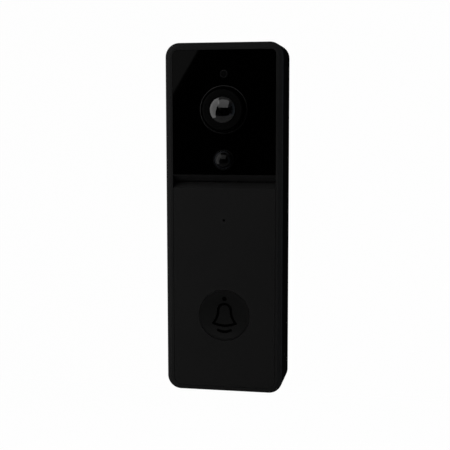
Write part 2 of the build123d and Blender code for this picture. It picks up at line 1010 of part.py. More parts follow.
with BuildPart() as pir_bezel:
    disc(flange_back, bezel_front, pir_radius, z=pir_level)
    chamfer(pir_bezel.faces().sort_by(Axis.Y)[0].edges(), pir_chamfer)
    disc(flange_back, web, pir_radius + pir_flange, z=pir_level)
    bore(flange_back, bezel_front, pir_radius - pir_wall, z=pir_level)
save(pir_bezel, "pir_bezel")

pir_back = camera_board_front + pir_lift
pir_shoulder = bezel_front + pir_dome_rise

with BuildPart() as pir_lens:
    disc(pir_back, pir_shoulder, pir_dome_radius, z=pir_level)
    dome(pir_shoulder, face + pir_dome_proud, pir_dome_radius, z=pir_level)
    bore(pir_back, pir_shoulder, pir_dome_radius - pir_dome_wall, z=pir_level)
    dome(
        pir_shoulder,
        face + pir_dome_proud - pir_dome_wall,
        pir_dome_radius - pir_dome_wall,
        z=pir_level,
        mode=Mode.SUBTRACT,
    )
save(pir_lens, "pir_lens")

with BuildPart() as pir_sensor:
    block(
        camera_board_front,
        camera_board_front + pir_base_thickness,
        span(0, pir_base_width),
        span(pir_level, pir_base_width),
    )
    can_back = camera_board_front + pir_base_thickness
    disc(can_back, pir_back + pir_can_entry, pir_can_radius, z=pir_level)
save(pir_sensor, "pir_sensor")


# ---------------------------------------------------------------- bell button

flange_front = panel_seat - thread_clearance
cap_back = flange_front - button_flange_thickness
seal_back = web - seal_web
post_back = seal_back + post_standoff
dish_span = button_radius - button_rim
dish_sphere = (dish_span**2 + button_dish**2) / (2 * button_dish)
sign_back = face - button_dish - sign_depth - cut_margin


def dish(sink, mode):
    """Ball whose back is the button's hollow face, with that face sunk by an amount."""
    with Locations((0, sink + button_dish - dish_sphere - face, button_level)):
        Sphere(dish_sphere, mode=mode)


# The sign on the button: a hand bell in outline, with a knob above and a clapper below.
with BuildPart() as sign_pocket:
    with BuildSketch(Plane((0, -sign_back, button_level), x_dir=(1, 0, 0), z_dir=(0, -1, 0))):
        with BuildLine():
            crown = CenterArc((0, sign_shoulder), sign_crown, 0, 180)
            left = TangentArc(crown @ 1, (-sign_half_width, sign_hem), tangent=(0, -1))
            right = TangentArc(crown @ 0, (sign_half_width, sign_hem), tangent=(0, -1))
            ThreePointArc(left @ 1, (0, sign_mouth), right @ 1)
        make_face()
        offset(amount=-sign_stroke, kind=Kind.INTERSECTION, mode=Mode.SUBTRACT)
        with Locations((0, sign_knob_level)):
            Circle(sign_knob)
        with BuildLine():
            ends = ((-clapper_half_width, clapper_end), (clapper_half_width, clapper_end))
            upper = ThreePointArc(ends[0], (0, clapper_middle), ends[1])
            lower = upper.moved(Location((0, -clapper_thickness)))
            add(lower)
            SagittaArc(upper @ 0, lower @ 0, -clapper_bulge)
            SagittaArc(upper @ 1, lower @ 1, clapper_bulge)
        make_face()
    extrude(amount=face - sign_back)
    tips = sign_pocket.edges().filter_by(Axis.Y).sort_by(Axis.X)
    fillet([tips[0], tips[-1]], sign_tip_radius)
    dish(sign_depth, Mode.INTERSECT)

with BuildPart() as bell_button:
    disc(cap_back, face, button_radius, z=button_level)
    disc(cap_back, flange_front, button_radius + button_flange, z=button_level)
    dish(0, Mode.SUBTRACT)
    add(sign_pocket.part, mode=Mode.SUBTRACT)
    disc(post_back, cap_back, post_radius, z=button_level)
save(bell_button, "bell_button")

with BuildPart() as bell_icon:
    add(sign_pocket.part)
    dish(sign_sink, Mode.SUBTRACT)
save(bell_icon, "bell_icon")

with BuildPart() as button_seal:
    disc(seal_back, web, button_radius + seal_flange, z=button_level)
    bore(seal_back, web, post_radius + running_gap, z=button_level)
save(button_seal, "button_seal")

switch_front = main_board_front + switch_height
plunger_front = post_back - thread_clearance
plunger_back = switch_front - plunger_sink
well_back = plunger_back - button_travel - plunger_floor_gap

with BuildPart() as button_switch:
    block(
        main_board_front,
        switch_front,
        span(0, switch_size),
        span(button_level, switch_size),
        radius=switch_corner,
    )
    bore(well_back, switch_front, plunger_radius + running_gap, z=button_level)
save(button_switch, "button_switch")

with BuildPart() as switch_plunger:
    disc(plunger_back, plunger_front, plunger_radius, z=button_level)
save(switch_plunger, "switch_plunger")


# ---------------------------------------------------------------- boards and what they carry

with BuildPart() as main_board:
    block(
        main_board_back,
        main_board_front,
        (-board_half_width, board_half_width),
        (main_board_bottom, main_board_top),
        radius=board_corner,
    )
    for x, level in main_points:
        clear_radius = board_screw_radius + board_hole_clearance
        bore(main_board_back, main_board_front, clear_radius, x, level)
save(main_board, "main_board")

with BuildPart() as board_screws:
    for points, back, front in (
        (main_points, main_board_back, web - main_screw_gap),
        (camera_points, camera_board_back, camera_board_front + camera_screw_length),
    ):
        for x, level in points:
            head_back = back - board_head_height
            disc(head_back, back, board_head_radius, x, level)
            disc(back, front, board_screw_radius, x, level)
            cross_slot(
                head_back, small_cross_depth, small_cross_length, small_cross_width, x, level
            )
save(board_screws, "board_screws")

with BuildPart() as processor_shield:
    shield_level = (microphone_level + button_level) / 2
    block(
        main_board_front,
        main_board_front + shield_thickness,
        span(shield_x, shield_width),
        span(shield_level, shield_height),
        radius=shield_corner,
    )
    block(
        main_board_front,
        main_board_front + shield_thickness - shield_wall,
        span(shield_x, shield_width - 2 * shield_wall),
        span(shield_level, shield_height - 2 * shield_wall),
        radius=shield_corner - shield_wall,
        mode=Mode.SUBTRACT,
    )
save(processor_shield, "processor_shield")

with BuildPart() as wifi_module:
    wifi_level = main_board_bottom + wifi_rise
    wifi_front = main_board_front + wifi_board
    wifi_left = board_column_radius + wifi_column_gap + main_column_inset - board_half_width
    can_left = wifi_left + wifi_can_margin
    wifi_sides = (wifi_left, wifi_left + wifi_width)
    block(main_board_front, wifi_front, wifi_sides, span(wifi_level, wifi_height))
    block(
        wifi_front,
        wifi_front + wifi_can,
        (can_left, can_left + wifi_can_width),
        span(wifi_level, wifi_height - 2 * wifi_can_margin),
        radius=switch_corner,
    )
save(wifi_module, "wifi_module")

capsule_front = main_board_front + microphone_thickness

with BuildPart() as microphone:
    block(
        main_board_front,
        capsule_front,
        span(0, microphone_width),
        span(microphone_level, microphone_height),
    )
    port_floor = capsule_front - microphone_port_depth
    bore(port_floor, capsule_front, microphone_port, z=microphone_level)
save(microphone, "microphone")

with BuildPart() as mic_boot:
    disc(capsule_front, web, boot_radius, z=microphone_level)
    bore(capsule_front, web, microphone_hole + running_gap, z=microphone_level)
save(mic_boot, "mic_boot")

with BuildPart() as camera_ribbon:
    ribbon_bend = camera_board_bottom - ribbon_run
    ribbon_foot = ribbon_bend - ribbon_slope
    side_profile(
        [
            (camera_board_back - ribbon_thickness, camera_board_bottom + ribbon_overlap),
            (camera_board_back, camera_board_bottom + ribbon_overlap),
            (camera_board_back, ribbon_bend),
            (main_board_back, ribbon_foot),
            (main_board_back, main_board_top - ribbon_end),
            (main_board_back - ribbon_thickness, main_board_top - ribbon_end),
            (main_board_back - ribbon_thickness, ribbon_foot - ribbon_thickness / 2),
            (camera_board_back - ribbon_thickness, ribbon_bend - ribbon_thickness / 2),
        ],
        ribbon_half_width,
        x=duct_width / 2 + ribbon_side_gap,
    )
save(camera_ribbon, "camera_ribbon")

with BuildPart() as antenna:
    block(
        back_inside,
        back_inside + antenna_thickness,
        span(antenna_x, antenna_width),
        span(tamper_level, antenna_height),
        radius=antenna_corner,
    )
save(antenna, "antenna")


# ---------------------------------------------------------------- speaker

with BuildPart() as speaker:
    block(
        back_inside,
        speaker_front,
        span(0, 2 * (column_side - column_radius - speaker_side_gap)),
        span(slot_middle + speaker_offset, speaker_length),
        radius=speaker_corner,
    )
    bore(speaker_front - speaker_mouth_depth, speaker_front, speaker_mouth, z=slot_middle)
save(speaker, "speaker")

with BuildPart() as sound_duct:
    for wall, mode in ((0, Mode.ADD), (duct_wall, Mode.SUBTRACT)):
        block(
            speaker_front,
            rib_back,
            span(0, duct_width - 2 * wall),
            span(slot_middle, duct_height - 2 * wall),
            radius=duct_corner - wall,
            mode=mode,
        )
save(sound_duct, "sound_duct")


# ---------------------------------------------------------------- battery

battery_high = main_board_top - battery_drop
battery_low = insert_top + insert_cap + battery_foot_gap
battery_levels = (battery_low, battery_high)
battery_front = main_board_back - battery_board_gap
battery_half = hook_side - hook_width / 2 - hook_clearance - pocket_wall - battery_side_gap

with BuildPart() as battery_pack:
    block(
        battery_back,
        battery_front,
        (-battery_half, battery_half),
        battery_levels,
        radius=battery_corner,
    )
    fillet(battery_pack.faces().sort_by(Axis.Y)[0].edges(), battery_edge)
save(battery_pack, "battery_pack")

with BuildPart() as battery_foam:
    block(
        back_inside,
        battery_back,
        span(0, 2 * (battery_half - foam_side_margin)),
        (battery_low + foam_end_margin, battery_high - foam_end_margin),
        radius=foam_corner,
    )
save(battery_foam, "battery_foam")

with BuildPart() as battery_tail:
    tail_back = battery_back + tail_lift
    tail_front = tail_back + tail_thickness
    tail_low = battery_high + tail_reach
    tail_high = tail_low + tail_thickness
    side_profile(
        [
            (tail_back, battery_high),
            (tail_front, battery_high),
            (tail_front, tail_low),
            (main_board_back, tail_low),
            (main_board_back, tail_high),
            (tail_back, tail_high),
        ],
        tail_half_width,
        x=tail_x,
    )
save(battery_tail, "battery_tail")


# ---------------------------------------------------------------- socket, flap, reset and tamper

socket_mouth = bottom + recess_depth + socket_gap


def oval(level, long_size, short_size, length, mode=Mode.ADD):
    """Flat oval bar along Z at the charging socket."""
    with BuildSketch(Plane.XY.offset(level)) as profile:
        with Locations((0, -socket_line)):
            SlotOverall(long_size, short_size)
    extrude(profile.sketch, amount=length, mode=mode)


with BuildPart() as usb_socket:
    oval(socket_mouth, socket_width, socket_height, socket_length)
    oval(
        socket_mouth,
        socket_width - 2 * socket_wall,
        socket_height - 2 * socket_wall,
        socket_length - socket_back,
        mode=Mode.SUBTRACT,
    )
    with BuildSketch(Plane.XY.offset(socket_mouth + tongue_inset)) as tongue_profile:
        with Locations((0, -socket_line)):
            Rectangle(socket_width - 2 * tongue_side_gap, tongue_thickness)
    extrude(tongue_profile.sketch, amount=socket_length - socket_back - tongue_inset)
save(usb_socket, "usb_socket")

with BuildPart() as usb_flap:
    with BuildSketch(Plane.XY.offset(bottom)):
        with Locations(((flap_right - flap_left) / 2, -socket_line)):
            Rectangle(flap_right + flap_left, flap_width)
    extrude(amount=flap_thickness)
    fillet(usb_flap.edges().filter_by(Axis.Z).group_by(Axis.X)[-1], flap_corner)
    with BuildSketch(at(socket_line - flap_width / 2)) as knuckle:
        with Locations((-flap_left, hinge_level)):
            Circle(flap_thickness / 2)
    extrude(knuckle.sketch, amount=flap_width)
    plug_gap = 2 * (socket_wall + flap_plug_gap / 2)
    oval(
        bottom + flap_thickness,
        socket_width - plug_gap,
        socket_height - plug_gap,
        flap_plug_height,
    )
save(usb_flap, "usb_flap")

reset_shoulder = inside_bottom + reset_gap
reset_stem = reset_shoulder + reset_flange_thickness

with BuildPart() as reset_button:
    upright(bottom + recess_depth + running_gap, reset_stem, reset_radius, reset_x, socket_line)
    upright(reset_shoulder, reset_stem, reset_radius + reset_flange, reset_x, socket_line)
    upright(reset_stem, reset_stem + reset_stem_length, reset_stem_radius, reset_x, socket_line)
save(reset_button, "reset_button")

reset_switch_bottom = reset_stem + reset_travel + reset_gap

with BuildPart() as reset_switch:
    block(
        main_board_front,
        2 * socket_line - main_board_front,
        span(reset_x, reset_switch_width),
        (reset_switch_bottom, reset_switch_bottom + reset_switch_height),
    )
    upright(
        reset_switch_bottom,
        reset_switch_bottom + reset_switch_bore,
        reset_stem_radius + running_gap,
        reset_x,
        socket_line,
        mode=Mode.SUBTRACT,
    )
save(reset_switch, "reset_switch")

tamper_shoulder = back_inside + running_gap
tamper_switch_back = camera_board_back - tamper_switch_height
tamper_stem = tamper_switch_back - tamper_switch_gap
flange_end = tamper_shoulder + tamper_flange_thickness
tip_back = bracket_thickness + thread_clearance

with BuildPart() as tamper_plunger:
    disc(tip_back, tamper_stem, tamper_radius, tamper_x, tamper_level)
    disc(tamper_shoulder, flange_end, tamper_radius + tamper_flange, tamper_x, tamper_level)
    stem_end = tamper_switch_back + tamper_stem_entry
    disc(tamper_stem, stem_end, tamper_stem_radius, tamper_x, tamper_level)
save(tamper_plunger, "tamper_plunger")

with BuildPart() as tamper_switch:
    block(
        tamper_switch_back,
        camera_board_back,
        span(tamper_x, tamper_switch_size),
        span(tamper_level, tamper_switch_size),
        radius=switch_corner,
    )
    well_end = tamper_switch_back + tamper_stem_entry + tamper_travel + running_gap
    bore(
        tamper_switch_back, well_end, tamper_stem_radius + running_gap, tamper_x, tamper_level
    )
save(tamper_switch, "tamper_switch")
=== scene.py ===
import math

import bmesh
import bpy
from mathutils import Matrix, Vector


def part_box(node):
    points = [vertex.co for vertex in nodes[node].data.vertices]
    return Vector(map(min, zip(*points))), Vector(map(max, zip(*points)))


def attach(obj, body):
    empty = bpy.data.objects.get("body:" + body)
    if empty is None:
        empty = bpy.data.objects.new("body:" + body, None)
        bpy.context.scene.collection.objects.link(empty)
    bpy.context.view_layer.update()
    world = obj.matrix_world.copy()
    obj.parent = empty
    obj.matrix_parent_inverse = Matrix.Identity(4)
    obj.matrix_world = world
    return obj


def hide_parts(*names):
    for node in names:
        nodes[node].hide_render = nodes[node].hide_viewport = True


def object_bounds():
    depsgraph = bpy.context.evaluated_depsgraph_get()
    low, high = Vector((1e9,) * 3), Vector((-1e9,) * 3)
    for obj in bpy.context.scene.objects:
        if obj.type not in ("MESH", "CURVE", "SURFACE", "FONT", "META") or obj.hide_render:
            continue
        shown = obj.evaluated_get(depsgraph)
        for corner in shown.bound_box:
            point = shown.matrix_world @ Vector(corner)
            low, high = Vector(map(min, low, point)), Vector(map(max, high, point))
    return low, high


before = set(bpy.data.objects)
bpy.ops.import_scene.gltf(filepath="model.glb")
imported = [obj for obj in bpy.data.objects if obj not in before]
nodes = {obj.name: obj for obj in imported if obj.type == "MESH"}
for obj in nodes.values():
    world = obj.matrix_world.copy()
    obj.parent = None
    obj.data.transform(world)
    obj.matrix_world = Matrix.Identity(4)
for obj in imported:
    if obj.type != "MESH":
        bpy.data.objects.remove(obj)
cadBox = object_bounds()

scene = bpy.context.scene


# small helpers for node trees

def setInput(tree, node, key, value):
    # key is an input's name or number; a socket is linked and anything else is written in
    socket = node.inputs[key]
    if isinstance(value, bpy.types.NodeSocket):
        tree.links.new(value, socket)
    else:
        socket.default_value = value


def addNode(tree, kind, settings=None, **inputs):
    # makes a node, sets its fields, then fills or links its inputs
    node = tree.nodes.new(kind)
    for field, value in (settings or {}).items():
        setattr(node, field, value)
    for name, value in inputs.items():
        setInput(tree, node, name, value)
    return node


def calc(tree, operation, first, second=0.0, clamp=False):
    node = addNode(tree, "ShaderNodeMath", {"operation": operation, "use_clamp": clamp})
    setInput(tree, node, 0, first)
    setInput(tree, node, 1, second)
    return node.outputs[0]


def remap(tree, value, fromLow, fromHigh, toLow, toHigh):
    node = addNode(tree, "ShaderNodeMapRange", {"clamp": True})
    for key, number in enumerate((value, fromLow, fromHigh, toLow, toHigh)):
        setInput(tree, node, key, number)
    return node.outputs[0]


def mixColour(tree, factor, first, second):
    node = addNode(tree, "ShaderNodeMix", {"data_type": "RGBA"})
    for key, value in ((0, factor), (6, first), (7, second)):   # a colour mix keeps its colours at 6 and 7
        setInput(tree, node, key, value)
    return node.outputs[2]


def scaleColour(tree, colour, amount):
    made = addNode(tree, "ShaderNodeVectorMath", {"operation": "SCALE"}, Vector=colour, Scale=amount)
    return made.outputs[0]


def objectPoint(tree):
    return addNode(tree, "ShaderNodeTexCoord").outputs["Object"]


def noise(tree, where, scale, detail, roughness=0.5):
    made = addNode(tree, "ShaderNodeTexNoise", Vector=where, Scale=scale, Detail=detail, Roughness=roughness)
    return made.outputs["Fac"]


def swing(tree, value, amount):
    # how far a noise is from its middle, times amount
    return calc(tree, "MULTIPLY", calc(tree, "SUBTRACT", value, 0.5), amount)


def bumpFrom(tree, height, strength, distance):
    return addNode(tree, "ShaderNodeBump", Height=height, Strength=strength, Distance=distance).outputs[0]


def makeGroup(name, inputs, outputs):
    # inputs: (name, kind, default), outputs: (name, kind); kind is Color, Float or Vector
    tree = bpy.data.node_groups.new(name, "ShaderNodeTree")
    for title, kind, default in inputs:
        socket = tree.interface.new_socket(title, in_out="INPUT", socket_type="NodeSocket" + kind)
        socket.default_value = default
    for title, kind in outputs:
        tree.interface.new_socket(title, in_out="OUTPUT", socket_type="NodeSocket" + kind)
    return tree, tree.nodes.new("NodeGroupInput").outputs, tree.nodes.new("NodeGroupOutput").inputs


def place(tree, group, **inputs):
    return addNode(tree, "ShaderNodeGroup", {"node_tree": group}, **inputs).outputs


# shader groups

surfaceOutputs = [("colour", "Color"), ("roughness", "Float"), ("normal", "Vector")]

moulding = {
    "driftScale": 38.0,
    "speckScale": 0.45,       # specks against pits
    "speckDepth": 0.9,
    "speckRoughness": 0.12,
    "pitHeight": 0.00004,
}


def buildMouldGrain():
    # spark-eroded mould texture: fine pits, a slow drift of tone and a few rubbed spots
    tree, given, out = makeGroup(
        "mouldGrain",
        [("tone", "Color", (0.01, 0.01, 0.01, 1)), ("drift", "Float", 0.2), ("pitSize", "Float", 0.0002),
         ("roughness", "Float", 0.5), ("pitDepth", "Float", 0.3)],
        surfaceOutputs)
    where = objectPoint(tree)
    frequency = calc(tree, "DIVIDE", 1.0, given["pitSize"])
    pits = noise(tree, where, frequency, 3.0, 0.6)
    slow = noise(tree, where, moulding["driftScale"], 4.0, 0.55)
    specks = noise(tree, where, calc(tree, "MULTIPLY", frequency, moulding["speckScale"]), 2.0)
    grain = swing(tree, specks, moulding["speckDepth"])
    lift = calc(tree, "ADD", calc(tree, "ADD", swing(tree, slow, given["drift"]), grain), 1.0)
    rubbed = calc(tree, "MULTIPLY", grain, moulding["speckRoughness"])
    tree.links.new(scaleColour(tree, given["tone"], lift), out["colour"])
    tree.links.new(calc(tree, "ADD", given["roughness"], rubbed, clamp=True), out["roughness"])
    tree.links.new(bumpFrom(tree, pits, given["pitDepth"], moulding["pitHeight"]), out["normal"])
    return tree


polishing = {
    "slowScale": 70.0,
    "fineScale": 900.0,
    "darkest": 0.85,
    "cloudDepth": 0.6,
    "waveHeight": 0.0002,
}


def buildPolish():
    # faint waviness and handling haze of a polished surface
    tree, given, out = makeGroup(
        "polish",
        [("tone", "Color", (0.01, 0.01, 0.01, 1)), ("haze", "Float", 0.02), ("roughness", "Float", 0.05),
         ("wave", "Float", 0.02)],
        surfaceOutputs)
    where = objectPoint(tree)
    slow = noise(tree, where, polishing["slowScale"], 3.0)
    fine = noise(tree, where, polishing["fineScale"], 4.0, 0.6)
    cloud = calc(tree, "MULTIPLY", slow, fine)
    lift = calc(tree, "ADD", polishing["darkest"], calc(tree, "MULTIPLY", cloud, polishing["cloudDepth"]))
    hazed = calc(tree, "MULTIPLY", cloud, given["haze"])
    tree.links.new(scaleColour(tree, given["tone"], lift), out["colour"])
    tree.links.new(calc(tree, "ADD", given["roughness"], hazed), out["roughness"])
    tree.links.new(bumpFrom(tree, slow, given["wave"], polishing["waveHeight"]), out["normal"])
    return tree


plating = {
    "streakScale": 4200.0,
    "cloudScale": 420.0,
    "cloudDepth": 0.35,
    "roughening": 0.5,        # how far streaks and clouds reach the roughness
    "streakBump": 0.12,
    "streakHeight": 0.00003,
}


def buildMetalGrain():
    # rolled or turned metal: streaks along one axis, cloudy plating
    tree, given, out = makeGroup(
        "metalGrain",
        [("tone", "Color", (0.5, 0.5, 0.5, 1)), ("stretch", "Vector", (1.0, 1.0, 0.05)),
         ("roughness", "Float", 0.3), ("streak", "Float", 0.2)],
        surfaceOutputs)
    where = objectPoint(tree)
    pulled = addNode(tree, "ShaderNodeVectorMath", {"operation": "MULTIPLY"}, Vector=where)
    setInput(tree, pulled, 1, given["stretch"])
    streaks = noise(tree, pulled.outputs[0], plating["streakScale"], 3.0, 0.6)
    clouds = noise(tree, where, plating["cloudScale"], 4.0, 0.6)
    level = calc(tree, "ADD", swing(tree, streaks, given["streak"]),
                 swing(tree, clouds, plating["cloudDepth"]))
    rougher = calc(tree, "MULTIPLY", level, plating["roughening"])
    tree.links.new(scaleColour(tree, given["tone"], calc(tree, "ADD", level, 1.0)), out["colour"])
    tree.links.new(calc(tree, "ADD", given["roughness"], rougher, clamp=True), out["roughness"])
    tree.links.new(bumpFrom(tree, streaks, plating["streakBump"], plating["streakHeight"]), out["normal"])
    return tree


etching = {
    "fillScale": 230.0, "fillScatter": 0.85, "fillEdge": (0.16, 0.2),
    "trackScale": 260.0, "trackEdge": (0.45, 0.6),
    "zoneScale": 90.0, "zoneEdge": (0.42, 0.46),
    "viaScale": 310.0, "viaScatter": 0.7, "viaEdge": (0.1, 0.13), "viaShine": 0.9,
    "maskRoughness": 0.42, "copperRoughness": 0.3,
    "bump": 0.5, "height": 0.00004,
}


def buildBoardPrint():
    # solder mask over copper: straight tracks, a hatched fill and tinned vias
    tree, given, out = makeGroup(
        "boardPrint",
        [("mask", "Color", (0.005, 0.05, 0.02, 1)), ("copper", "Color", (0.02, 0.13, 0.05, 1)),
         ("tin", "Color", (0.6, 0.55, 0.4, 1))],
        [("colour", "Color"), ("metal", "Float"), ("roughness", "Float"), ("height", "Float")])
    split = addNode(tree, "ShaderNodeSeparateXYZ", Vector=objectPoint(tree)).outputs
    flat = addNode(tree, "ShaderNodeCombineXYZ", X=split["X"], Y=split["Z"]).outputs[0]
    fills = addNode(tree, "ShaderNodeTexVoronoi", {"distance": "CHEBYCHEV"}, Vector=flat,
                    Scale=etching["fillScale"], Randomness=etching["fillScatter"])
    bands = addNode(tree, "ShaderNodeTexWave", {"wave_type": "BANDS", "bands_direction": "DIAGONAL"},
                    Vector=flat, Scale=etching["trackScale"], Distortion=0.0)
    zones = addNode(tree, "ShaderNodeTexVoronoi", {"distance": "MANHATTAN"}, Vector=flat,
                    Scale=etching["zoneScale"])
    vias = addNode(tree, "ShaderNodeTexVoronoi", Vector=flat, Scale=etching["viaScale"],
                   Randomness=etching["viaScatter"])
    inTracks = remap(tree, zones.outputs["Distance"], *etching["zoneEdge"], 0.0, 1.0)
    tracks = remap(tree, bands.outputs["Fac"], *etching["trackEdge"], 0.0, 1.0)
    fill = remap(tree, fills.outputs["Distance"], *etching["fillEdge"], 1.0, 0.0)
    raised = calc(tree, "MAXIMUM", calc(tree, "MULTIPLY", tracks, inTracks), fill)
    dot = remap(tree, vias.outputs["Distance"], *etching["viaEdge"], 1.0, 0.0)
    base = mixColour(tree, raised, given["mask"], given["copper"])
    rough = remap(tree, raised, 0.0, 1.0, etching["maskRoughness"], etching["copperRoughness"])
    tree.links.new(mixColour(tree, dot, base, given["tin"]), out["colour"])
    tree.links.new(calc(tree, "MULTIPLY", dot, etching["viaShine"]), out["metal"])
    tree.links.new(rough, out["roughness"])
    tree.links.new(raised, out["height"])
    return tree


mouldGrain = buildMouldGrain()
polish = buildPolish()
metalGrain = buildMetalGrain()
boardPrint = buildBoardPrint()


# materials

def newMaterial(name, **fixed):
    # fixed values sit on the shader's own sockets
    material = bpy.data.materials.new(name)
    material.use_nodes = True
    shader = material.node_tree.nodes["Principled BSDF"]
    for title, value in fixed.items():
        shader.inputs[title.replace("_", " ")].default_value = value
    return material, material.node_tree, shader


def joinShader(tree, shader, outputs):
    for title, socket in (("colour", "Base Color"), ("metal", "Metallic"), ("roughness", "Roughness"),
                          ("normal", "Normal")):
        if title in outputs:
            tree.links.new(outputs[title], shader.inputs[socket])


def mouldedPlastic(name, tone, drift, pitSize, roughness, pitDepth, specular):
    material, tree, shader = newMaterial(name, Specular_IOR_Level=specular)
    joinShader(tree, shader, place(tree, mouldGrain, tone=(*tone, 1), drift=drift, pitSize=pitSize,
                                   roughness=roughness, pitDepth=pitDepth))
    return material


def polished(name, tone, haze, roughness, wave, specular, **fixed):
    material, tree, shader = newMaterial(name, Specular_IOR_Level=specular, **fixed)
    joinShader(tree, shader, place(tree, polish, tone=(*tone, 1), haze=haze, roughness=roughness, wave=wave))
    return material


def plainMetal(name, tone, stretch, roughness, streak):
    material, tree, shader = newMaterial(name, Metallic=1.0)
    joinShader(tree, shader, place(tree, metalGrain, tone=(*tone, 1), stretch=stretch, roughness=roughness,
                                   streak=streak))
    return material


def circuitBoard(name, mask, copper, tin):
    material, tree, shader = newMaterial(name)
    outputs = place(tree, boardPrint, mask=(*mask, 1), copper=(*copper, 1), tin=(*tin, 1))
    joinShader(tree, shader, outputs)
    bump = bumpFrom(tree, outputs["height"], etching["bump"], etching["height"])
    tree.links.new(bump, shader.inputs["Normal"])
    return material


finishes = {
    # name, tone, drift, pit size, roughness, pit depth, specular level
    "casing": mouldedPlastic("casingPlastic", (0.0044, 0.0044, 0.0044), 0.25, 0.00022, 0.5, 0.35, 0.025),
    "panel": mouldedPlastic("panelPlastic", (0.0044, 0.0044, 0.0044), 0.25, 0.00022, 0.5, 0.35, 0.025),
    "button": mouldedPlastic("buttonPlastic", (0.0030, 0.0030, 0.0030), 0.2, 0.00016, 0.4, 0.25, 0.2),
    "nylon": mouldedPlastic("bracketNylon", (0.0095, 0.0095, 0.0098), 0.4, 0.0004, 0.55, 0.5, 0.35),
    "trim": mouldedPlastic("trimPlastic", (0.0007, 0.0007, 0.0007), 0.2, 0.00014, 0.5, 0.2, 0.015),
    "rubber": mouldedPlastic("siliconeRubber", (0.008, 0.008, 0.0085), 0.4, 0.0003, 0.7, 0.4, 0.2),
    "foam": mouldedPlastic("foamTape", (0.012, 0.012, 0.013), 0.5, 0.0006, 0.9, 1.0, 0.1),
    "chip": mouldedPlastic("chipEpoxy", (0.012, 0.012, 0.013), 0.3, 0.0003, 0.45, 0.3, 0.4),
    "speaker": mouldedPlastic("speakerFrame", (0.02, 0.02, 0.022), 0.3, 0.0004, 0.5, 0.4, 0.4),
    # name, tone, haze, roughness, wave, specular level
    "window": polished("windowAcrylic", (0.0001, 0.0001, 0.0001), 0.01, 0.02, 0.01, 0.5),
    "sensorLens": polished("sensorLens", (0.0005, 0.0005, 0.00055), 0.02, 0.08, 0.01, 0.09),
    "lightPipe": polished("lightPipePlastic", (0.0016, 0.0016, 0.0017), 0.02, 0.2, 0.01, 0.1),
    "bezel": polished("bezelGloss", (0.0013, 0.0013, 0.0013), 0.05, 0.3, 0.02, 0.06),
    "innerLens": polished("innerLens", (0.0003, 0.0003, 0.0004), 0.02, 0.35, 0.01, 0.01),
    "ring": polished("ringGloss", (0.0005, 0.0005, 0.0005), 0.05, 0.2, 0.02, 0.34),
    "ink": polished("signInk", (0.0002, 0.0002, 0.0002), 0.05, 0.35, 0.02, 0.01),
    "lamp": polished("lampResin", (0.02, 0.012, 0.02), 0.02, 0.06, 0.01, 0.5),
    "film": polished("cellWrap", (0.07, 0.075, 0.085), 0.2, 0.25, 0.2, 0.5),
    "flex": polished("flexFilm", (0.35, 0.14, 0.02), 0.1, 0.25, 0.05, 0.5),
    "dome": polished("domeGlass", (0.01, 0.01, 0.012), 0.004, 0.0, 0.0, 0.14,
                     Transmission_Weight=1.0, IOR=1.45),
    # name, tone, stretch of the streaks, roughness, streak
    "steel": plainMetal("zincSteel", (0.52, 0.53, 0.55), (1.0, 1.0, 1.0), 0.32, 0.2),
    "blackSteel": plainMetal("blackOxide", (0.03, 0.031, 0.034), (1.0, 1.0, 1.0), 0.42, 0.2),
    "gold": plainMetal("goldPlate", (0.9, 0.62, 0.25), (1.0, 1.0, 0.1), 0.25, 0.1),
    "brass": plainMetal("turnedBrass", (0.72, 0.5, 0.2), (1.0, 0.08, 1.0), 0.28, 0.25),
    "tinned": plainMetal("tinnedSheet", (0.62, 0.62, 0.6), (1.0, 1.0, 0.06), 0.3, 0.2),
    # name, solder mask, copper under it, tinned vias
    "board": circuitBoard("boardMask", (0.004, 0.035, 0.014), (0.008, 0.075, 0.028), (0.75, 0.6, 0.3)),
}

pieceFinish = {
    "casing": ["front_housing", "rear_housing"],
    "panel": ["face_panel"],
    "button": ["bell_button"],
    "nylon": ["wall_bracket", "lens_holder", "usb_flap", "reset_button", "tamper_plunger", "sound_duct"],
    "trim": ["lens_shroud", "lens_barrel"],
    "rubber": ["housing_seal", "button_seal", "switch_plunger", "mic_boot"],
    "foam": ["window_adhesive", "battery_foam"],
    "window": ["camera_window"],
    "sensorLens": ["pir_lens"],
    "lightPipe": ["light_pipe"],
    "bezel": ["pir_bezel"],
    "ring": ["lens_ring"],
    "ink": ["bell_icon"],
    "lamp": ["ir_leds"],
    "chip": ["image_sensor", "light_sensor", "button_switch", "reset_switch", "tamper_switch", "microphone"],
    "film": ["battery_pack"],
    "flex": ["camera_ribbon", "antenna", "battery_tail"],
    "speaker": ["speaker"],
    "steel": ["housing_screws", "board_screws"],
    "blackSteel": ["security_screw"],
    "brass": ["screw_insert"],
    "tinned": ["pir_sensor", "processor_shield", "wifi_module", "usb_socket"],
    "board": ["main_board", "camera_board"],
    "dome": ["lens_glass"],
    "innerLens": ["lens_elements", "ir_cut_filter"],
}
for finish, names in pieceFinish.items():
    for name in names:
        nodes[name].data.materials.clear()
        nodes[name].data.materials.append(finishes[finish])
bare = sorted(set(nodes) - {name for names in pieceFinish.values() for name in names})
print("finishes placed on", len(nodes) - len(bare), "pieces, without one:", bare)


# round pieces that are finer than the CAD's facets, turned about the line of their own CAD node

turning = {
    "steps": 112,             # around each piece
    "cornerSteps": 4,
    "cornerShare": 0.45,      # most of an edge that a rounded corner takes
    "creaseAngle": 30.0,
    "mergeWithin": 1e-7,
    "mostVerts": 1e6,
}


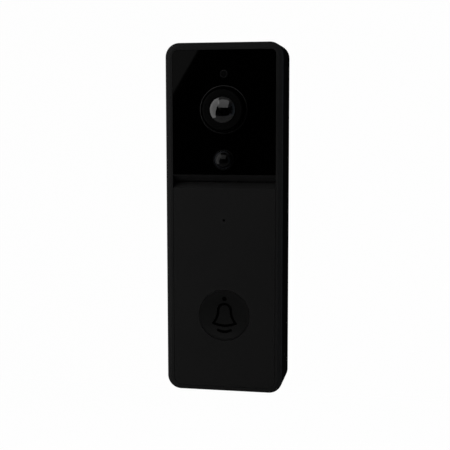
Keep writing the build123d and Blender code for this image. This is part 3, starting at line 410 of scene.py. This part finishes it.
def softened(points, radius):
    # the same line with its inner corners rounded
    line = [Vector(points[0])]
    for before, corner, after in zip(points, points[1:], points[2:]):
        corner = Vector(corner)
        back, forth = Vector(before) - corner, Vector(after) - corner
        first = corner + back.normalized() * min(radius, turning["cornerShare"] * back.length)
        last = corner + forth.normalized() * min(radius, turning["cornerShare"] * forth.length)
        for step in range(turning["cornerSteps"] + 1):
            share = step / turning["cornerSteps"]
            line.append(first * (1 - share) ** 2 + corner * 2 * share * (1 - share) + last * share ** 2)
    return line + [Vector(points[-1])]


def cap(radius, apex, rise, steps):
    # from the axis out to the rim of a round cap whose top is at apex
    ball = (radius ** 2 + rise ** 2) / (2 * rise)
    widest = math.asin(radius / ball) if rise <= ball else math.pi - math.asin(radius / ball)
    angles = [widest * step / steps for step in range(steps + 1)]
    return [(ball * math.sin(angle), apex + ball * (1 - math.cos(angle))) for angle in angles]


def addObject(name, mesh, material):
    data = bpy.data.meshes.new(name)
    mesh.to_mesh(data)
    mesh.free()
    data.materials.append(material)
    made = bpy.data.objects.new(name, data)
    scene.collection.objects.link(made)
    return made


def newPiece(name, mesh, body, finish):
    bmesh.ops.recalc_face_normals(mesh, faces=mesh.faces)
    for face in mesh.faces:
        face.smooth = True
    piece = addObject(name, mesh, finishes[finish])
    piece.data.set_sharp_from_angle(angle=math.radians(turning["creaseAngle"]))
    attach(piece, body)
    return piece


def cornerOrder(face):
    corners = [vert.index for vert in face.verts]
    return min(corners) * turning["mostVerts"] + max(corners)


def turned(name, node, profile, finish, closed=True, inPlace=True):
    # profile is (radius, y) points; a line that is not closed starts and ends on the axis
    low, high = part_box(node)
    centre = ((low.x + high.x) / 2, 0, (low.z + high.z) / 2)
    mesh = bmesh.new()
    verts = [mesh.verts.new((centre[0] + radius, y, centre[2])) for radius, y in profile]
    edges = [mesh.edges.new(pair) for pair in zip(verts, verts[1:])]
    if closed:
        edges.append(mesh.edges.new((verts[-1], verts[0])))
    bmesh.ops.spin(mesh, geom=verts + edges, cent=centre, axis=(0, 1, 0), angle=2 * math.pi,
                   steps=turning["steps"], use_merge=True)
    bmesh.ops.remove_doubles(mesh, verts=mesh.verts, dist=turning["mergeWithin"])
    mesh.verts.index_update()
    mesh.faces.sort(key=cornerOrder)   # a spin's faces come in a chance order
    piece = newPiece(name, mesh, "doorbell", finish)
    if inPlace:
        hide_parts(node)


def reach(node):
    # outer radius, front and back of a round CAD node
    low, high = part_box(node)
    return (high.x - low.x) / 2, low.y, high.y


def paintedRimSheen(material, level, start, end, pale):
    # painted sheen: the lens keeps its dark tone in the middle and its rim is painted paler, standing in for
    # the light a dome's edge catches
    tree = material.node_tree
    tone = next(node for node in tree.nodes if node.type == "GROUP").inputs["tone"]
    where = addNode(tree, "ShaderNodeSeparateXYZ", Vector=objectPoint(tree)).outputs
    across, up = where["X"], calc(tree, "SUBTRACT", where["Z"], level)
    squares = calc(tree, "ADD", calc(tree, "MULTIPLY", across, across), calc(tree, "MULTIPLY", up, up))
    rim = remap(tree, calc(tree, "SQRT", squares), start, end, 0.0, 1.0)
    tree.links.new(mixColour(tree, rim, tone.default_value[:], (*pale, 1)), tone)


ring = {"mouth": 0.00825, "lip": 0.0004, "funnelDepth": 0.00075, "edge": 0.00008}
outer, front, back = reach("lens_ring")
turned("cameraRing", "lens_ring", softened([
    (ring["mouth"], back), (ring["mouth"], front + ring["funnelDepth"]), (outer - ring["lip"], front),
    (outer, front), (outer, back)], ring["edge"]), "ring")

shroud = {"radius": 0.0078, "throat": 0.0051, "bore": 0.007, "flangeThickness": 0.0012,
          "glassFlange": 0.0008, "edge": 0.0003}
outer, front, back = reach("lens_shroud")
seat = reach("lens_glass")[2] - shroud["glassFlange"]
flangeFront = back - shroud["flangeThickness"]
turned("cameraShroud", "lens_shroud", softened([
    (shroud["bore"], back), (shroud["bore"], seat), (shroud["throat"], seat), (shroud["throat"], front),
    (shroud["radius"], front), (shroud["radius"], flangeFront), (outer, flangeFront), (outer, back)],
    shroud["edge"]), "trim")

glass = {"radius": 0.005, "land": 0.0005, "flangeThickness": 0.0008, "edge": 0.0001, "steps": 28}
outer, front, back = reach("lens_glass")
flangeFront = back - glass["flangeThickness"]
shoulder = flangeFront - glass["land"]
crown = cap(glass["radius"], front, shoulder - front, glass["steps"])
turned("cameraDome", "lens_glass", softened([
    (0, back), (outer, back), (outer, flangeFront), (glass["radius"], flangeFront),
    (glass["radius"], shoulder)], glass["edge"]) + crown[-2::-1], "dome", closed=False)

bezel = {"radius": 0.004, "wall": 0.00022, "flangeThickness": 0.0012, "edge": 0.00012}
outer, front, back = reach("pir_bezel")
inner = bezel["radius"] - bezel["wall"]
flangeFront = back - bezel["flangeThickness"]
turned("sensorBezel", "pir_bezel", softened([
    (inner, back), (inner, front), (bezel["radius"], front), (bezel["radius"], flangeFront),
    (outer, flangeFront), (outer, back)], bezel["edge"]), "bezel")

# a round crown, then a straight skirt that slopes down to the lens wall
sensor = {
    "wall": 0.0006,
    "crown": 0.00315,
    "crownRise": 0.002,
    "innerRise": 0.8,         # the inner crown against the outer one
    "slope": 2.1,
    "outerSteps": 26,
    "innerSteps": 18,
    # the lens rim is painted paler between these two radii, a painted sheen
    "sheenFrom": 0.0027,
    "sheenTo": 0.0033,
    "rimSheenTone": (0.0042, 0.0045, 0.0052),
}
outer, front, back = reach("pir_lens")
inner = outer - sensor["wall"]
skirt = (outer - sensor["crown"]) * sensor["slope"]
innerCrown = cap(sensor["crown"] - sensor["wall"] / 2, front + sensor["wall"],
                 sensor["crownRise"] * sensor["innerRise"], sensor["innerSteps"])
outerCrown = cap(sensor["crown"], front, sensor["crownRise"], sensor["outerSteps"])
shoulder = front + sensor["crownRise"] + skirt
turned("sensorDome", "pir_lens", innerCrown + [
    (inner, shoulder), (inner, back), (outer, back), (outer, shoulder)] + outerCrown[::-1],
    "sensorLens", closed=False)
low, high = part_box("pir_lens")
# paints a paler rim on the sensor dome: a painted sheen, not a tint of the plastic
paintedRimSheen(finishes["sensorLens"], (low.z + high.z) / 2, sensor["sheenFrom"], sensor["sheenTo"], sensor["rimSheenTone"])

pipe = {"radius": 0.0017, "dimple": 0.00115, "dimpleDepth": 0.0003, "bevel": 0.00022, "edge": 0.00008}
outer, front, back = reach("light_pipe")
dimpleFloor = front + pipe["dimpleDepth"]
flangeBack = reach("lens_shroud")[2]
flangeFront = flangeBack - shroud["flangeThickness"]
turned("lightPipe", "light_pipe", softened([
    (0, dimpleFloor), (pipe["dimple"], dimpleFloor), (pipe["dimple"], front),
    (pipe["radius"] - pipe["bevel"], front), (pipe["radius"], front + pipe["bevel"]),
    (pipe["radius"], flangeFront), (outer, flangeFront), (outer, flangeBack), (pipe["radius"], flangeBack),
    (pipe["radius"], back), (0, back)], pipe["edge"]), "lightPipe", closed=False)

pane = {"radius": 0.00112, "thickness": 0.00022, "edge": 0.00004}   # lies in the pipe's dimple
paneFront = dimpleFloor - pane["thickness"]
turned("lightPane", "light_pipe", softened([
    (0, dimpleFloor), (pane["radius"], dimpleFloor), (pane["radius"], paneFront), (0, paneFront)],
    pane["edge"]), "trim", closed=False, inPlace=False)
print("turned pieces made")


# gold contacts on both sides of the charging socket's tongue
contacts = {"count": 12, "pitch": 0.0005, "width": 0.00026, "length": 0.0034, "proud": 0.00003,
            "fromMouth": 0.0013, "halfTongue": 0.00035, "bevel": 0.00002}
low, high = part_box("usb_socket")
middle = (low + high) / 2
mesh = bmesh.new()
for side in (-1, 1):
    for index in range(contacts["count"]):
        made = bmesh.ops.create_cube(mesh, size=1.0)["verts"]
        bmesh.ops.scale(mesh, vec=(contacts["width"], 2 * contacts["proud"], contacts["length"]), verts=made)
        bmesh.ops.translate(mesh, verts=made, vec=(
            middle.x + (index - (contacts["count"] - 1) / 2) * contacts["pitch"],
            middle.y + side * contacts["halfTongue"],
            low.z + contacts["fromMouth"] + contacts["length"] / 2))
bmesh.ops.bevel(mesh, geom=mesh.edges[:], offset=contacts["bevel"], offset_type="OFFSET", affect="EDGES",
                segments=1, profile=0.5, material=-1)
newPiece("socketContacts", mesh, "doorbell", "gold")
print("socket contacts made")


# floor, backdrop, lamps and camera

studio = {
    "floorDrop": 0.48,        # the doorbell hangs well above the floor, as on a wall
    "floorFront": -0.67,
    "floorBack": 1.6,
    "floorHalf": 1.8,
    "backHeight": 1.8,
    "paper": (0.8, 0.8, 0.8, 1),
    "shadowFade": 0.985,      # 1 would hide the doorbell's shadow from the camera
    "glossFloor": 0.28,       # how bright the floor shows in gloss, near the doorbell
    "glossReach": 0.9,        # how far that reaches
    "glossFade": 1.6,         # and where it ends, in reaches
    "glossCeiling": 0.3,
    "ceilingFrom": 0.45,
    "ceilingTo": 0.9,
    "worldFill": 0.07,
}
white = (1, 1, 1, 1)


def buildPaper():
    # pale surface that shows as white to the camera and clear rays, dimmer in gloss, and keeps a soft shadow
    material = bpy.data.materials.new("floorPaper")
    material.use_nodes = True
    tree = material.node_tree
    tree.nodes.clear()
    out = tree.nodes.new("ShaderNodeOutputMaterial")
    matte = addNode(tree, "ShaderNodeBsdfDiffuse", Color=studio["paper"])
    path = addNode(tree, "ShaderNodeLightPath").outputs
    direct = calc(tree, "MAXIMUM", path["Is Camera Ray"], path["Is Transmission Ray"])
    mirrored = path["Is Glossy Ray"]
    away = addNode(tree, "ShaderNodeVectorMath", {"operation": "LENGTH"}, Vector=objectPoint(tree))
    gloss = remap(tree, away.outputs["Value"], studio["glossReach"],
                  studio["glossReach"] * studio["glossFade"], studio["glossFloor"], 0.0)
    glow = addNode(tree, "ShaderNodeEmission", Color=white,
                   Strength=calc(tree, "MAXIMUM", direct, calc(tree, "MULTIPLY", mirrored, gloss)))
    mix = tree.nodes.new("ShaderNodeMixShader")
    unshaded = calc(tree, "MULTIPLY", direct, studio["shadowFade"])
    setInput(tree, mix, 0, calc(tree, "MAXIMUM", unshaded, mirrored))
    setInput(tree, mix, 1, matte.outputs[0])
    setInput(tree, mix, 2, glow.outputs[0])
    tree.links.new(mix.outputs[0], out.inputs[0])
    return material


def buildFloor():
    level = Vector(cadBox[0])[2] - studio["floorDrop"]
    half, front, back = studio["floorHalf"], studio["floorFront"], studio["floorBack"]
    mesh = bmesh.new()
    bmesh.ops.create_grid(mesh, x_segments=1, y_segments=1, size=1.0)
    bmesh.ops.scale(mesh, vec=(half, (back - front) / 2, 1), verts=mesh.verts)
    bmesh.ops.translate(mesh, vec=(0, (back + front) / 2, level), verts=mesh.verts)
    rear = [edge for edge in mesh.edges if all(vert.co.y > (back + front) / 2 for vert in edge.verts)]
    grown = bmesh.ops.extrude_edge_only(mesh, edges=rear)["geom"]
    bmesh.ops.translate(mesh, vec=(0, 0, studio["backHeight"]),
                        verts=[part for part in grown if isinstance(part, bmesh.types.BMVert)])
    floor = addObject("floor", mesh, buildPaper())


def buildWorld():
    # white to the camera, a dark horizon and pale ceiling in gloss, a little fill in the shade
    world = bpy.data.worlds.new("studio")
    scene.world = world
    world.use_nodes = True
    tree = world.node_tree
    path = addNode(tree, "ShaderNodeLightPath").outputs
    toCamera = calc(tree, "MAXIMUM", path["Is Camera Ray"], path["Is Transmission Ray"])
    heading = addNode(tree, "ShaderNodeTexCoord").outputs["Generated"]
    height = addNode(tree, "ShaderNodeSeparateXYZ", Vector=heading).outputs["Z"]
    ceiling = remap(tree, height, studio["ceilingFrom"], studio["ceilingTo"], 0.0, studio["glossCeiling"])
    inGloss = calc(tree, "MULTIPLY", path["Is Glossy Ray"], ceiling)
    inShade = calc(tree, "MULTIPLY", path["Is Diffuse Ray"], studio["worldFill"])
    backLight = tree.nodes["Background"]
    setInput(tree, backLight, "Color", white)
    setInput(tree, backLight, "Strength",
             calc(tree, "MAXIMUM", toCamera, calc(tree, "MAXIMUM", inGloss, inShade)))


def aimed(eye, look, roll):
    # a place and turn that looks along a direction, rolled by degrees
    turn = Vector(look).to_track_quat("-Z", "Y").to_matrix() @ Matrix.Rotation(math.radians(roll), 3, "Z")
    return Matrix.Translation(eye) @ turn.to_4x4()


buildFloor()
buildWorld()

# glow is how bright the panel itself is, where 1 is white; seenIn says what it lights
# the hollow button takes its light from above, and the rest from the left
lamps = {
    "leftPanel": {"at": (-0.518, -0.173, 0.22), "face": (0.978, 0.173, -0.115), "size": (0.75, 1.27),
                  "roll": -22.0, "glow": 2.0, "seenIn": "gloss", "without": "bell_button"},
    "topPanel": {"at": (0.02, -0.466, 0.45), "face": (-0.02, 0.74, -0.67), "size": (0.76, 0.64),
                 "glow": 1.3, "seenIn": "gloss", "without": "front_housing"},
    "rightPanel": {"at": (0.62, -0.04, 0.06), "face": (-1.0, 0.0, 0.0), "size": (0.5, 0.8),
                   "glow": 0.27, "colour": (0.72, 0.86, 1), "seenIn": "gloss"},
    "greyCard": {"at": (-0.429, -1.48, 0.166), "face": (0.272, 0.960, -0.071), "size": (0.16, 0.4),
                 "roll": -30.0, "glow": 0.11, "seenIn": "gloss"},
    "leftShade": {"at": (-0.42, -0.15, 0.15), "face": (0.89, 0.3, -0.32), "size": (0.5, 0.7),
                  "roll": -22.0, "glow": 8.2, "seenIn": "shade", "without": "bell_button"},
    "topShade": {"at": (0.02, -0.466, 0.45), "face": (-0.02, 0.74, -0.67), "size": (0.76, 0.64),
                 "glow": 5.4, "seenIn": "shade", "only": "bell_button"},
    "edgeLight": {"at": (0.46, -0.22, 0.08), "face": (-0.88, 0.45, -0.12), "size": (0.25, 0.8),
                  "glow": 8.0, "colour": (0.72, 0.86, 1), "seenIn": "gloss", "only": "front_housing"},
    "frontFill": {"at": (-0.55, -1.15, -0.5), "face": (0.43, 0.9, 0.39), "size": (0.9, 0.9),
                  "glow": 3.3, "seenIn": "shade", "without": "bell_button"},
    "backFill": {"at": (-0.4, 1.2, 0.5), "face": (0.3, -0.9, -0.35), "size": (0.8, 0.8),
                 "glow": 5.0, "seenIn": "shade"},
}
for name, lamp in lamps.items():
    light = bpy.data.lights.new(name, "AREA")
    light.shape = "RECTANGLE"
    light.size, light.size_y = lamp["size"]
    light.energy = lamp["glow"] * math.pi * light.size * light.size_y
    light.color = lamp.get("colour", white[:3])
    holder = bpy.data.objects.new(name, light)
    scene.collection.objects.link(holder)
    holder.matrix_world = aimed(lamp["at"], lamp["face"], lamp.get("roll", 0.0))
    holder.visible_diffuse = lamp["seenIn"] == "shade"
    holder.visible_glossy = lamp["seenIn"] == "gloss"
    for kind, state in (("only", "INCLUDE"), ("without", "EXCLUDE")):
        if kind in lamp:
            spread = bpy.data.collections.new(name + "Reach")
            spread.objects.link(nodes[lamp[kind]])
            spread.collection_objects[0].light_linking.link_state = state
            holder.light_linking.receiver_collection = spread

view = {"eye": (0.06906, -0.3863, 0.03913), "look": (-0.18423, 0.97668, -0.11027), "roll": -0.08,
        "lens": 75.4, "sensor": 36.0, "nearest": 0.01}
cameraData = bpy.data.cameras.new("camera")
cameraData.lens = view["lens"]
cameraData.sensor_width = view["sensor"]
cameraData.clip_start = view["nearest"]
camera = bpy.data.objects.new("camera", cameraData)
scene.collection.objects.link(camera)
camera.matrix_world = aimed(view["eye"], view["look"], view["roll"])
scene.camera = camera
scene.view_settings.view_transform = "Standard"
print("studio ready")
